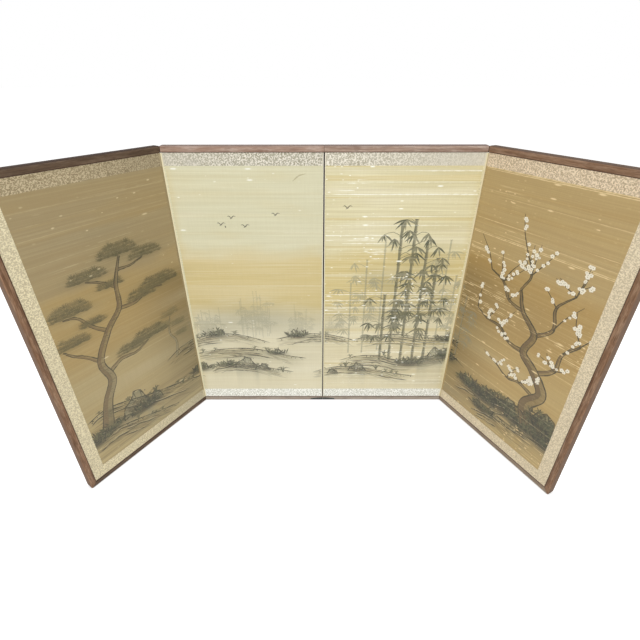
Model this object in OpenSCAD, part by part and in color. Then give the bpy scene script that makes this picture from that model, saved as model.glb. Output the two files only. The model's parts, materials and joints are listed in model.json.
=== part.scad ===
// Tabletop folding screen of four panels.
// Each panel is a wooden lattice skinned with paper on both sides, faced with painted
// silk and brocade borders, closed at the back with patterned paper and edged with
// wooden moulding. Strips of paper glued round the panel edges are the hinges.
// Millimetres. X runs along the screen, Y towards its back and Z up. The origin is on
// the table, in the middle of the space that the standing screen takes up.

/* [Screen] */
// Width of one panel, from the middle of one seam to the middle of the next
panel_w = 300; // [240:1:400]
// Height of the screen
screen_h = 620; // [450:1:800]
// Fold of the left outer panel towards the front, in degrees
left_fold = 56.1; // [25:0.1:80]
// Fold of the right outer panel towards the front, in degrees
right_fold = 61.3; // [25:0.1:80]

/* [Moulding] */
// Width of the moulding as seen from the front
moulding_face = 12; // [10:0.5:18]
// Depth of the moulding from front to back
moulding_depth = 17; // [14:0.5:24]
// Radius of its outer edge at the front
front_round = 3; // [1:0.5:5]
// Radius of its outer edge at the back
back_round = 2; // [1:0.5:5]
// Radius of the screen's outer corners as seen from the front
corner_round = 5; // [1:0.5:8]
// Width of the step along the moulding's inner edge
step_w = 1.5; // [0.5:0.1:3]
// Depth of that step
step_depth = 0.6; // [0.2:0.1:0.9]
// How far the moulding stands out in front of the silk
front_proud = 1; // [0.6:0.1:2]
// How far the moulding stands out behind the back cover
back_proud = 0.6; // [0.5:0.1:2]

/* [Core] */
// Width of the two upright members of a core
core_stile_w = 22; // [14:1:36]
// Width of the top and bottom members of a core
core_rail_w = 22; // [14:1:36]
// Width of a lattice bar
bar_w = 9; // [6:0.5:14]
// Number of upright lattice bars in a panel
uprights = 2; // [1:1:4]
// Number of level lattice bars in a panel
crossbars = 6; // [4:1:9]
// Length of a tenon
tenon_l = 6; // [3:0.5:10]
// Thickness of a tenon from front to back
tenon_t = 5; // [3:0.5:8]
// Shoulder above and below a tenon
tenon_shoulder = 1.5; // [0.5:0.25:2.5]
// Glue clearance round a tenon and in a half lap
joint_play = 0.1; // [0.05:0.05:0.3]

/* [Skins] */
// Thickness of the paper lining on each side of the core
lining_t = 0.4; // [0.2:0.1:1]
// Thickness of the mounted silk and of the brocade
silk_t = 0.5; // [0.2:0.1:1]
// Thickness of the back cover
cover_t = 0.4; // [0.2:0.1:1]
// Height of the brocade border along the top
top_border_h = 23.5; // [12:0.5:60]
// Height of the brocade border along the bottom
bottom_border_h = 25; // [12:0.5:60]
// Width of the brocade border down the outer side of an outer panel
side_border_w = 21.5; // [12:0.5:60]

/* [Seams] */
// Gap between the moulding ends of two flat neighbours
seam_gap = 0.6; // [0.6:0.1:1]
// Distance from the middle of a seam to the side of a core
seam_recess = 1.7; // [1.2:0.1:3]
// How far a hinge line lies outside the moulding it folds on
hinge_play = 0.4; // [0.3:0.05:1]
// Thickness of the hinge paper
strip_t = 0.35; // [0.2:0.05:0.45]
// Number of hinge strips in a seam
strips = 5; // [3:2:9]
// Gap between one hinge strip and the next
strip_gap = 0.2; // [0.1:0.1:2]
// Width of a strip's tab on the front of a panel
front_tab = 2; // [1.5:0.1:8]
// Width of a strip's narrow tab on the back of a panel
narrow_tab = 3.6; // [2:0.1:8]
// Width of a strip's wide tab on the back of a panel
wide_tab = 14; // [8:0.5:30]
// Gap between the two halves of a strip at its crease
crease_gap = 0.4; // [0.3:0.05:0.8]

/* [Dowels] */
// Diameter of the bamboo dowels that hold the moulding
dowel_d = 3; // [2:0.5:5]
// Length of a dowel inside the moulding
dowel_in_moulding = 7; // [4:0.5:8]
// Length of a dowel inside the core
dowel_in_core = 9; // [5:0.5:12]
// Clearance between a dowel and its hole
dowel_play = 0.05; // [0.05:0.05:0.2]
// Number of dowels along the top, and along the bottom, of a panel
rail_dowels = 3; // [2:1:5]
// Number of dowels down the side of an outer panel
side_dowels = 4; // [2:1:7]
// Distance from a row's first dowel to the end of its core member
dowel_inset = 30; // [15:1:50]

/* [Foot guards] */
// Length of a guard along the foot of the centre seam
guard_l = 30; // [15:1:45]
// Height of a guard at the seam
guard_h = 8.5; // [6.5:0.25:10]
// Height of a guard at its far end
guard_end_h = 5.5; // [1:0.1:6]
// Depth of a guard under the moulding
guard_depth = 8; // [5:0.5:12]
// Thickness of a guard
guard_t = 0.5; // [0.3:0.1:0.8]

/* [Hidden] */
$fn = 48;
// How far a cutting shape reaches past what it cuts
over = 1;
// Smoothness of the guard's wide arc
arc_fn = 360;

// Layers of a panel, measured back from the front of its moulding
silk_front = front_proud;
silk_back = silk_front + silk_t;
core_front = silk_back + lining_t;
cover_back = moulding_depth - back_proud;
cover_front = cover_back - cover_t;
core_back = cover_front - lining_t;
core_t = core_back - core_front;
core_mid = (core_front + core_back) / 2;

// Places along a panel, measured from the end that is further from the centre seam
end_gap = seam_gap / 2;
moulding_end = panel_w - end_gap;
core_end = panel_w - seam_recess;
inner_stile_start = core_end - core_stile_w;
function is_outer(n) = n == 1 || n == 4;
function core_start(n) = is_outer(n) ? end_gap + moulding_face : seam_recess;
function outer_stile_end(n) = core_start(n) + core_stile_w;
function silk_start(n) = is_outer(n) ? core_start(n) + side_border_w : core_start(n);

// Heights
core_bottom = moulding_face;
core_top = screen_h - moulding_face;
core_h = core_top - core_bottom;
grid_bottom = core_bottom + core_rail_w;
grid_top = core_top - core_rail_w;
silk_bottom = core_bottom + bottom_border_h;
silk_top = core_top - top_border_h;

// Lattice spacing
grid_cell_h = (grid_top - grid_bottom - crossbars * bar_w) / (crossbars + 1);
function crossbar_z(i) = grid_bottom + (i + 1) * grid_cell_h + i * bar_w;
function grid_w(n) = inner_stile_start - outer_stile_end(n);
function grid_cell_w(n) = (grid_w(n) - uprights * bar_w) / (uprights + 1);
function upright_x(n, i) = outer_stile_end(n) + (i + 1) * grid_cell_w(n) + i * bar_w;

// Dowel rows: the first and last dowel lie one inset from the ends of the row
function row_place(from, to, count, i) =
    from + dowel_inset + i * (to - from - 2 * dowel_inset) / (count - 1);

// Folding. The outer panels turn forwards on a line just in front of the moulding.
// The centre seam turns backwards on a line just behind it and stands flat at rest.
outer_reach = panel_w - end_gap;
function fold_of(n) = n < 3 ? left_fold : right_fold;
function side_extent(a) =
    panel_w + (outer_reach - back_round) * cos(a)
    + (hinge_play + moulding_depth - back_round) * sin(a) + back_round;
function front_extent(a) =
    hinge_play + (outer_reach - front_round) * sin(a)
    - (hinge_play + front_round) * cos(a) + front_round;
middle_x = (side_extent(right_fold) - side_extent(left_fold)) / 2;
middle_y = (moulding_depth - max(front_extent(left_fold), front_extent(right_fold))) / 2;

PANEL_NODES = [
    "core_outer_stile", "core_inner_stile", "core_lattice", "front_lining",
    "back_lining", "painted_silk", "top_border", "bottom_border", "back_cover",
    "top_moulding", "bottom_moulding", "dowels", "outer_hinge_strips"
];
OUTER_NODES = ["side_moulding", "side_border"];
INNER_NODES = ["centre_hinge_strips", "foot_guard"];

// Puts a piece, drawn along X from the panel's far end, into its place in the screen.
// Panels 3 and 4 are the mirror images of panels 2 and 1.
module on_panel(n) {
    translate([-middle_x, -middle_y, 0])
        mirror([n > 2 ? 1 : 0, 0, 0])
            turned(is_outer(n) ? fold_of(n) : 0)
                translate([is_outer(n) ? -2 * panel_w : -panel_w, 0, 0])
                    children();
}

// Turns an outer panel forwards about its hinge line
module turned(a) {
    translate([-panel_w, -hinge_play, 0])
        rotate([0, 0, a])
            translate([panel_w, hinge_play, 0])
                children();
}

// Extrudes a shape drawn in X and Z from the front to the back of a panel
module through(front = -over, back = moulding_depth + over) {
    translate([0, back, 0])
        rotate([90, 0, 0])
            linear_extrude(back - front)
                children();
}

// Box between two places along, across and up a panel
module block(x, y, z) {
    translate([x[0], y[0], z[0]])
        cube([x[1] - x[0], y[1] - y[0], z[1] - z[0]]);
}

// What a round of radius r takes off the corner of a shape at the origin
module corner_cut(r) {
    difference() {
        translate([-over, -over])
            square(r + over);
        translate([r, r])
            circle(r);
    }
}

// Section of the moulding: X is its depth and Y its face, from the outer edge inwards
module moulding_section() {
    difference() {
        square([moulding_depth, moulding_face]);
        corner_cut(front_round);
        translate([moulding_depth, 0])
            mirror([1, 0])
                corner_cut(back_round);
        translate([-over, moulding_face - step_w])
            square([step_depth + over, step_w + over]);
    }
}

// Outline of an outer panel with its two rounded outer corners
module outer_outline() {
    difference() {
        translate([end_gap, 0])
            square([moulding_end - end_gap, screen_h]);
        translate([end_gap, 0])
            corner_cut(corner_round);
        translate([end_gap, screen_h])
            mirror([0, 1])
                corner_cut(corner_round);
    }
}

// Outline of the outer side moulding, mitred at both ends
module side_outline() {
    polygon([
        [end_gap - over, -over],
        [end_gap + moulding_face + over, moulding_face + over],
        [end_gap + moulding_face + over, screen_h - moulding_face - over],
        [end_gap - over, screen_h + over]
    ]);
}

// Level moulding of a panel, along the bottom. The end at the side is mitred.
module level_moulding(n) {
    intersection() {
        difference() {
            translate([end_gap, 0, 0])
                rotate([90, 0, 90])
                    linear_extrude(moulding_end - end_gap)
                        moulding_section();
            if (is_outer(n)) through() side_outline();
        }
        if (is_outer(n)) through() outer_outline();
        else block([0, panel_w], [-over, moulding_depth + over], [-over, screen_h]);
    }
}

// Turns what is drawn at the bottom of a panel over to its top
module at_top() {
    translate([0, 0, screen_h])
        mirror([0, 0, 1])
            children();
}

// Dowels upright in the bottom edge, or with a clearance the holes for them
module rail_dowel_row(n, play = 0) {
    for (i = [0:rail_dowels - 1])
        translate([
            row_place(outer_stile_end(n), inner_stile_start, rail_dowels, i),
            core_mid,
            core_bottom - dowel_in_moulding - play
        ])
            cylinder(d = dowel_d + 2 * play, h = dowel_in_moulding + dowel_in_core + 2 * play);
}

// Dowels level in the outer side, or with a clearance the holes for them
module side_dowel_row(play = 0) {
    for (i = [0:side_dowels - 1])
        translate([
            core_start(1) - dowel_in_moulding - play,
            core_mid,
            row_place(grid_bottom, grid_top, side_dowels, i)
        ])
            rotate([0, 90, 0])
                cylinder(d = dowel_d + 2 * play, h = dowel_in_moulding + dowel_in_core + 2 * play);
}

// Level member of a core with a tenon at each end, from z up over height h
module tenoned_level(n, z, h, play = 0) {
    if (play == 0)
        block([outer_stile_end(n), inner_stile_start], [core_front, core_back], [z, z + h]);
    block(
        [outer_stile_end(n) - tenon_l - play, inner_stile_start + tenon_l + play],
        [core_mid - tenon_t / 2 - play, core_mid + tenon_t / 2 + play],
        [z + tenon_shoulder - play, z + h - tenon_shoulder + play]
    );
}

// All level members of a core, or with a clearance the mortises for their tenons
module level_members(n, play = 0) {
    tenoned_level(n, core_bottom, core_rail_w, play);
    tenoned_level(n, core_top - core_rail_w, core_rail_w, play);
    for (i = [0:crossbars - 1]) tenoned_level(n, crossbar_z(i), bar_w, play);
}

// Upright bars of a lattice, or with a clearance the room for them
module upright_bars(n, play = 0) {
    for (i = [0:uprights - 1]) {
        block(
            [upright_x(n, i) - play, upright_x(n, i) + bar_w + play],
            [core_front - play, core_back + play],
            [grid_bottom + joint_play - 2 * play, grid_top - joint_play + 2 * play]
        );
        block(
            [upright_x(n, i) + tenon_shoulder - play, upright_x(n, i) + bar_w - tenon_shoulder + play],
            [core_mid - tenon_t / 2 - play, core_mid + tenon_t / 2 + play],
            [grid_bottom - tenon_l - play, grid_top + tenon_l + play]
        );
    }
}

module core_outer_stile(n) {
    color("burlywood")
        difference() {
            block([core_start(n), outer_stile_end(n)], [core_front, core_back], [core_bottom, core_top]);
            level_members(n, joint_play);
            if (is_outer(n)) side_dowel_row(dowel_play);
        }
}

module core_inner_stile(n) {
    color("burlywood")
        difference() {
            block([inner_stile_start, core_end], [core_front, core_back], [core_bottom, core_top]);
            level_members(n, joint_play);
        }
}

// Top and bottom members and the half-lapped bars between them. Level bars are notched
// at the back and pass in front of the uprights.
module core_lattice(n) {
    color("wheat") {
        difference() {
            level_members(n);
            intersection() {
                upright_bars(n, joint_play);
                block([0, panel_w], [core_mid, moulding_depth], [grid_bottom, grid_top]);
            }
            upright_tenon_mortises(n);
            rail_dowel_row(n, dowel_play);
            at_top() rail_dowel_row(n, dowel_play);
        }
        difference() {
            upright_bars(n);
            for (i = [0:crossbars - 1])
                block(
                    [0, panel_w],
                    [-over, core_mid + joint_play],
                    [crossbar_z(i) - joint_play, crossbar_z(i) + bar_w + joint_play]
                );
        }
    }
}

// Mortises in the top and bottom members for the tenons of the upright bars
module upright_tenon_mortises(n) {
    intersection() {
        upright_bars(n, joint_play);
        union() {
            block([0, panel_w], [0, moulding_depth], [core_bottom, grid_bottom]);
            block([0, panel_w], [0, moulding_depth], [grid_top, core_top]);
        }
    }
}

module front_lining(n) {
    color("ivory")
        block([core_start(n), core_end], [silk_back, core_front], [core_bottom, core_top]);
}

module back_lining(n) {
    color("ivory")
        block([core_start(n), core_end], [core_back, cover_front], [core_bottom, core_top]);
}

module back_cover(n) {
    color("darkseagreen")
        block([core_start(n), core_end], [cover_front, cover_back], [core_bottom, core_top]);
}

module painted_silk(n) {
    color("khaki")
        block([silk_start(n), core_end], [silk_front, silk_back], [silk_bottom, silk_top]);
}

module top_border(n) {
    color("beige")
        block([core_start(n), core_end], [silk_front, silk_back], [silk_top, core_top]);
}

module bottom_border(n) {
    color("beige")
        block([core_start(n), core_end], [silk_front, silk_back], [core_bottom, silk_bottom]);
}

module side_border(n) {
    color("beige")
        block([core_start(n), silk_start(n)], [silk_front, silk_back], [silk_bottom, silk_top]);
}

module top_moulding(n) {
    color("sienna")
        at_top()
            difference() {
                level_moulding(n);
                rail_dowel_row(n, dowel_play);
            }
}

module bottom_moulding(n) {
    color("sienna")
        difference() {
            level_moulding(n);
            rail_dowel_row(n, dowel_play);
            if (!is_outer(n)) guard_blank();
        }
}

module side_moulding(n) {
    color("sienna")
        difference() {
            intersection() {
                translate([end_gap, 0, 0])
                    linear_extrude(screen_h)
                        mirror([1, -1])
                            moulding_section();
                through() side_outline();
                through() outer_outline();
            }
            side_dowel_row(dowel_play);
        }
}

module dowels(n) {
    color("tan") {
        rail_dowel_row(n);
        at_top() rail_dowel_row(n);
        if (is_outer(n)) side_dowel_row();
    }
}

// Section of a hinge strip round the edge of a panel: X is the distance into the panel
// from the middle of the seam and Y the depth. The side that folds reaches the crease.
module strip_section(back_tab, folds_forward) {
    side = seam_recess - strip_t;
    front_reach = folds_forward ? crease_gap / 2 : side;
    back_reach = folds_forward ? side : crease_gap / 2;
    translate([side, silk_front - strip_t])
        square([strip_t, cover_back - silk_front + 2 * strip_t]);
    translate([front_reach, silk_front - strip_t])
        square([seam_recess + front_tab - front_reach, strip_t]);
    translate([back_reach, cover_back])
        square([seam_recess + back_tab - back_reach, strip_t]);
}

// A seam's hinge strips on one panel, with wide and narrow back tabs in turn
module hinge_strips(first_is_wide, folds_forward) {
    strip_h = (core_h - (strips + 1) * strip_gap) / strips;
    for (i = [0:strips - 1]) {
        wide = (i % 2 == 0) == first_is_wide;
        translate([0, 0, core_bottom + strip_gap + i * (strip_h + strip_gap)])
            linear_extrude(strip_h)
                strip_section(wide ? wide_tab : narrow_tab, folds_forward);
    }
}

// Puts hinge strips on the edge of a panel that is nearer to the centre seam
module at_inner_edge() {
    translate([panel_w, 0, 0])
        mirror([1, 0, 0])
            children();
}

// Strips of the seam between an outer panel and its neighbour
module outer_hinge_strips(n) {
    color("cornsilk") {
        if (is_outer(n)) at_inner_edge() hinge_strips(true, true);
        else hinge_strips(false, true);
    }
}

// Strips of the centre seam
module centre_hinge_strips(n) {
    color("cornsilk")
        at_inner_edge() hinge_strips(n == 2, false);
}

// Thin plate round the lower front edge of the moulding, under a low arch
module guard_blank() {
    top = min(guard_h, moulding_face - step_w - 0.5);
    rise = top - guard_end_h;
    arch_r = (guard_l * guard_l + rise * rise) / (2 * rise);
    inner_round = max(front_round - guard_t, 0.1);
    intersection() {
        translate([moulding_end - guard_l, 0, 0])
            rotate([90, 0, 90])
                linear_extrude(guard_l + over)
                    difference() {
                        translate([-over, -over])
                            square([guard_depth + over, top + over]);
                        translate([guard_t, guard_t])
                            difference() {
                                square([moulding_depth, moulding_face]);
                                corner_cut(inner_round);
                            }
                    }
        through(-over, moulding_depth)
            translate([moulding_end, top - arch_r])
                circle(arch_r, $fn = arc_fn);
    }
}

module foot_guard(n) {
    color([0.1, 0.1, 0.1])
        intersection() {
            level_moulding(n);
            guard_blank();
        }
}

for (n = [1:4]) {
    on_panel(n) core_outer_stile(n);
    on_panel(n) core_inner_stile(n);
    on_panel(n) core_lattice(n);
    on_panel(n) front_lining(n);
    on_panel(n) back_lining(n);
    on_panel(n) painted_silk(n);
    on_panel(n) top_border(n);
    on_panel(n) bottom_border(n);
    on_panel(n) back_cover(n);
    on_panel(n) top_moulding(n);
    on_panel(n) bottom_moulding(n);
    on_panel(n) dowels(n);
    on_panel(n) outer_hinge_strips(n);
}
for (n = [1, 4]) {
    on_panel(n) side_moulding(n);
    on_panel(n) side_border(n);
}
for (n = [2, 3]) {
    on_panel(n) centre_hinge_strips(n);
    on_panel(n) foot_guard(n);
}
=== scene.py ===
import json
import math
import random
import bmesh
import bpy
import numpy as np
from mathutils import Matrix, Vector


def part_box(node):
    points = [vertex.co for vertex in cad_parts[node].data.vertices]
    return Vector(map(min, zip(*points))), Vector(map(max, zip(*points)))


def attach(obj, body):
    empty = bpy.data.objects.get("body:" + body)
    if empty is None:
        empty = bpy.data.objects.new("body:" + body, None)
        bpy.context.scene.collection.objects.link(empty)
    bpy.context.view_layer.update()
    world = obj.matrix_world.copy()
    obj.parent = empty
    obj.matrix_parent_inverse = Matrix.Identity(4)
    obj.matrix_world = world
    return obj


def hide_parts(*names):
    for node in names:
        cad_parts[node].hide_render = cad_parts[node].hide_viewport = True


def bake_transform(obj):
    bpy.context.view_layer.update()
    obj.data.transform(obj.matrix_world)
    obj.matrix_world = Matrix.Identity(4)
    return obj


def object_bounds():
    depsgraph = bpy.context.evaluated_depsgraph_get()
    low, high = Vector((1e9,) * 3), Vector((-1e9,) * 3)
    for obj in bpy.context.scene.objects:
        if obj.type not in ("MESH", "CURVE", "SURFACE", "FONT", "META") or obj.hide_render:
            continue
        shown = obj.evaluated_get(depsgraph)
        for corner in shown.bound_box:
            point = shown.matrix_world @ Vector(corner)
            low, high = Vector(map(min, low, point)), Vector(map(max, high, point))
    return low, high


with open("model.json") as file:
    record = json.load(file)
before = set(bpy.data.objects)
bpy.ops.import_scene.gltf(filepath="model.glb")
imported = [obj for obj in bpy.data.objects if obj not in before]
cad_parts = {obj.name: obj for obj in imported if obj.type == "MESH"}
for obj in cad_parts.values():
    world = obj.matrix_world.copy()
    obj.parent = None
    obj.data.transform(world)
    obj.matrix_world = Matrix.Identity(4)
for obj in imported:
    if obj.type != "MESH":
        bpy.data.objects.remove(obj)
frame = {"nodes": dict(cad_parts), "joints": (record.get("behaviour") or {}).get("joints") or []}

CAD_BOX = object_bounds()
MM = 0.001

# The folded screen's places, all taken from the frame
JOINTS = {joint["name"]: joint for joint in frame["joints"]}
LEFT_FOLD = -math.radians(JOINTS["fold_12"]["range_deg"][0])
RIGHT_FOLD = -math.radians(JOINTS["fold_34"]["range_deg"][0])
CENTRE_X = JOINTS["fold_23"]["pos_m"][0]
FRONT_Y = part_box("top_moulding_2")[0].y
HEIGHT = CAD_BOX[1].z
PANEL_W = JOINTS["fold_34"]["pos_m"][0] - CENTRE_X


def turned_about(joint, angle):
    """Matrix that turns about a joint's line by an angle."""
    pivot = Vector(JOINTS[joint]["pos_m"])
    return Matrix.Translation(pivot) @ Matrix.Rotation(angle, 4, "Z") @ Matrix.Translation(-pivot)


# Unrolled screen to the standing one: X runs from the centre seam along all four panels,
# Y back from the moulding's face and Z up from the table
LAID_OUT = Matrix.Translation((CENTRE_X, FRONT_Y, 0))
STAND = {
    1: turned_about("fold_12", LEFT_FOLD) @ LAID_OUT,
    2: LAID_OUT,
    3: LAID_OUT,
    4: turned_about("fold_34", -RIGHT_FOLD) @ LAID_OUT,
}


def unrolled_box(node, n):
    """Lowest and highest corner of a CAD node of panel n on the unrolled screen."""
    back = STAND[n].inverted()
    corners = [back @ v.co for v in frame["nodes"][node].data.vertices]
    low = Vector([min(c[i] for c in corners) for i in range(3)])
    high = Vector([max(c[i] for c in corners) for i in range(3)])
    return low, high


SILK = {n: unrolled_box(f"painted_silk_{n}", n) for n in STAND}

# Camera of the photograph: places in metres from the centre seam, on the table
IMAGE_SIDE = 640
SENSOR = 36
FOCAL_PX = 388.3
CAMERA_PLACE = (-0.0125, -0.7456, 0.7255)
CAMERA_DOWN = 28.6
CAMERA_ROLL = -0.05
PRINCIPAL_X = 317.6
PRINCIPAL_Y = 291.2


def new_object(name, data):
    """New object of the scene."""
    made = bpy.data.objects.new(name, data)
    bpy.context.scene.collection.objects.link(made)
    return made


def make_camera():
    """Camera at the photograph's viewing angle."""
    data = bpy.data.cameras.new("photo_camera")
    data.sensor_width = SENSOR
    data.lens = FOCAL_PX / IMAGE_SIDE * SENSOR
    data.shift_x = (IMAGE_SIDE / 2 - PRINCIPAL_X) / IMAGE_SIDE
    data.shift_y = (PRINCIPAL_Y - IMAGE_SIDE / 2) / IMAGE_SIDE
    data.clip_start = 0.01
    data.clip_end = 50
    camera = new_object("photo_camera", data)
    place = LAID_OUT @ Vector(CAMERA_PLACE)
    turn = Matrix.Rotation(math.radians(90 - CAMERA_DOWN), 4, "X")
    roll = Matrix.Rotation(math.radians(CAMERA_ROLL), 4, "Z")
    camera.matrix_world = Matrix.Translation(place) @ turn @ roll
    bpy.context.scene.camera = camera


make_camera()


# Shader building

def math_sign(operation, swapped=False):
    """Method that adds a Math node when a signal is used with a sign such as + or *."""
    def method(signal, *others):
        return maths(operation, *((*others, signal) if swapped else (signal, *others)))
    return method


class Signal:
    """Output of a node. Ordinary signs turn it into further Math nodes."""

    def __init__(self, socket):
        self.socket = socket

    __add__ = __radd__ = math_sign("ADD")
    __sub__ = math_sign("SUBTRACT")
    __rsub__ = math_sign("SUBTRACT", swapped=True)
    __mul__ = __rmul__ = math_sign("MULTIPLY")
    __truediv__ = math_sign("DIVIDE")
    __rtruediv__ = math_sign("DIVIDE", swapped=True)
    __abs__ = math_sign("ABSOLUTE")


def fill(socket, value):
    """Links a socket to a signal, or sets it to a plain value."""
    if isinstance(value, Signal):
        socket.id_data.links.new(value.socket, socket)
    elif isinstance(value, tuple) and len(value) == 3 and socket.type == "RGBA":
        socket.default_value = (*value, 1)
    else:
        socket.default_value = value


def added(kind, inputs, outputs=0, **settings):
    """Output, or list of outputs, of a new node in the tree of its inputs' signals. Inputs and
    outputs go by number or by name."""
    tree = next(value.socket.id_data for value in inputs.values() if isinstance(value, Signal))
    made = tree.nodes.new(kind)
    for key, setting in settings.items():
        setattr(made, key, setting)
    for key, value in inputs.items():
        fill(made.inputs[key], value)
    if isinstance(outputs, (list, range)):
        return [Signal(made.outputs[key]) for key in outputs]
    return Signal(made.outputs[outputs])


def maths(operation, *values, clamp=False):
    """Result of a Math node on numbers or signals."""
    return added("ShaderNodeMath", dict(enumerate(values)), operation=operation, use_clamp=clamp)


def vector_maths(operation, *values):
    """Result of a Vector Math node."""
    return added("ShaderNodeVectorMath", dict(enumerate(values)), operation=operation)


def ramp(value, low, high, to_low=0.0, to_high=1.0):
    """Signal stretched smoothly from one range to another."""
    inputs = dict(enumerate((value, low, high, to_low, to_high)))
    return added("ShaderNodeMapRange", inputs, interpolation_type="SMOOTHSTEP")


def mix(share, first, second):
    """Colour between two colours."""
    return added("ShaderNodeMix", {0: share, 6: first, 7: second}, 2, data_type="RGBA")


def layered(tone, *layers):
    """Colour with others laid over it in turn, each given as its share and its colour."""
    for share, over in layers:
        tone = mix(share, tone, over)
    return tone


def noise(vector, scale, detail=3.0, roughness=0.55, distortion=0.0):
    """Soft noise from 0 to 1. A scale of three numbers gives each axis its own."""
    if isinstance(scale, tuple):
        vector, scale = vector_maths("MULTIPLY", vector, scale), 1.0
    inputs = {"Vector": vector, "Scale": scale, "Detail": detail, "Roughness": roughness,
              "Distortion": distortion}
    return added("ShaderNodeTexNoise", inputs, "Fac")


def scattered(vector, scale):
    """Distance to the nearest of the points scattered in X and Y, and that point's colour and place."""
    inputs = {"Vector": vector, "Scale": scale}
    wanted = ["Distance", "Color", "Position"]
    return added("ShaderNodeTexVoronoi", inputs, wanted, voronoi_dimensions="2D")


def split(vector):
    """X, Y and Z of a vector."""
    return added("ShaderNodeSeparateXYZ", {0: vector}, range(3))


def joined(x, y, z):
    """Vector of three parts."""
    return added("ShaderNodeCombineXYZ", {0: x, 1: y, 2: z})


def bump(height, distance, strength):
    """Normal of a surface raised by height times distance, in metres."""
    return added("ShaderNodeBump", {"Strength": strength, "Distance": distance, "Height": height})


def new_material(name):
    """Node material with a Principled shader."""
    material = bpy.data.materials.new(name)
    material.use_nodes = True
    return material


def panel_material(name, n=2):
    """New material for pieces of panel n, with their coordinates on the unrolled screen."""
    material = new_material(name)
    back = STAND[n].inverted()
    place = Signal(material.node_tree.nodes.new("ShaderNodeTexCoord").outputs["Object"])
    inputs = {"Vector": place, "Location": back.translation, "Rotation": back.to_euler()}
    return material, added("ShaderNodeMapping", inputs)


def coat(material, **inputs):
    """Fills inputs of a material's Principled shader. Returns the material."""
    shader = material.node_tree.nodes["Principled BSDF"]
    for label, value in inputs.items():
        fill(shader.inputs[label.replace("_", " ")], value)
    return material


def new_group(name, outputs, **inputs):
    """Node group on a vector and further inputs, given as name=default. Returns the group, its
    output sockets and the signals of its inputs."""
    group = bpy.data.node_groups.new(name, "ShaderNodeTree")
    group.interface.new_socket(name="Vector", in_out="INPUT", socket_type="NodeSocketVector")
    for label, value in inputs.items():
        socket = group.interface.new_socket(name=label, in_out="INPUT", socket_type="NodeSocketFloat")
        socket.default_value = value
    for label in outputs:
        group.interface.new_socket(name=label, in_out="OUTPUT", socket_type="NodeSocketFloat")
    given = group.nodes.new("NodeGroupInput").outputs
    result = group.nodes.new("NodeGroupOutput").inputs
    return group, result, *(Signal(given[label]) for label in ("Vector", *inputs))


def use_group(group, vector, **values):
    """Results of a node group on a vector and its further inputs."""
    results = [item.name for item in group.interface.items_tree if item.in_out == "OUTPUT"]
    return added("ShaderNodeGroup", {"Vector": vector, **values}, results, node_tree=group)


def weave_group():
    """Plain weave: threads along X and Z, seen as height from 0 to 1."""
    group, result, vector, pitch = new_group("plain_weave", ["Height"], Pitch=0.0004)
    x, _, z = split(vector)
    turns = math.pi / pitch
    over = maths("SINE", x * turns) * maths("SINE", z * turns)
    fill(result["Height"], over * 0.5 + 0.5)
    return group


def streak_group():
    """Level threads that differ from their neighbours: a value round 0.5, long in X, thin in Z."""
    group, result, vector, length, thickness = new_group(
        "weft_streaks", ["Streak"], Length=0.1, Thickness=0.001
    )
    x, y, z = split(vector)
    fill(result["Streak"], noise(joined(x / length, y, z / thickness), 1.0, 2.0, 0.5))
    return group


def slub_group():
    """Single thick threads: some of the rows carry one, in lengths, with its own brightness."""
    group, result, vector, pitch, share, length = new_group(
        "slub_threads", ["Slub"], Pitch=0.002, Share=0.05, Length=0.2
    )
    x, _, z = split(vector)
    rows = z / pitch
    row = maths("FLOOR", rows)
    drawn = added("ShaderNodeTexWhiteNoise", {"W": row}, "Color", noise_dimensions="1D")
    chance, shift, light = split(drawn)
    here = noise(joined(shift * 40.0 + x / length, row, 0.5), 1.0, 2.0, 0.5)
    bulge = noise(vector, (90, 1, 300), 2.0, 0.6)
    width = ramp(here, 0.44, 0.56) * ramp(bulge, 0.3, 0.7, 0.14, 0.5)
    aside = abs(maths("FRACT", rows) - 0.5)
    thread = maths("MULTIPLY", 1.0 - aside / (width + 0.001), 2.5, clamp=True)
    lit = maths("LESS_THAN", chance, share) * (light * 0.6 + 0.4)
    fill(result["Slub"], thread * lit)
    return group


def knot_group():
    """Bright knots in the weft: one small spot in some of the cells of a grid, drawn out in X."""
    group, result, vector, spacing, size, share, squeeze = new_group(
        "weft_knots", ["Knot"], Spacing=0.02, Size=0.001, Share=0.3, Squeeze=0.6
    )
    x, _, z = split(vector)
    rough = noise(vector, (420, 1, 900), 2.0, 0.6)
    flat = joined(x * squeeze, (rough - 0.5) * 0.0016 + z, 0.0)
    distance, colour, _ = scattered(flat, 1.0 / spacing)
    chance, width, _ = split(colour)
    inside = 1.0 - distance * spacing / (size * (width + 0.3))
    spot = maths("MULTIPLY", inside, 1.8, clamp=True)
    fill(result["Knot"], spot * maths("LESS_THAN", chance, share))
    return group


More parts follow.
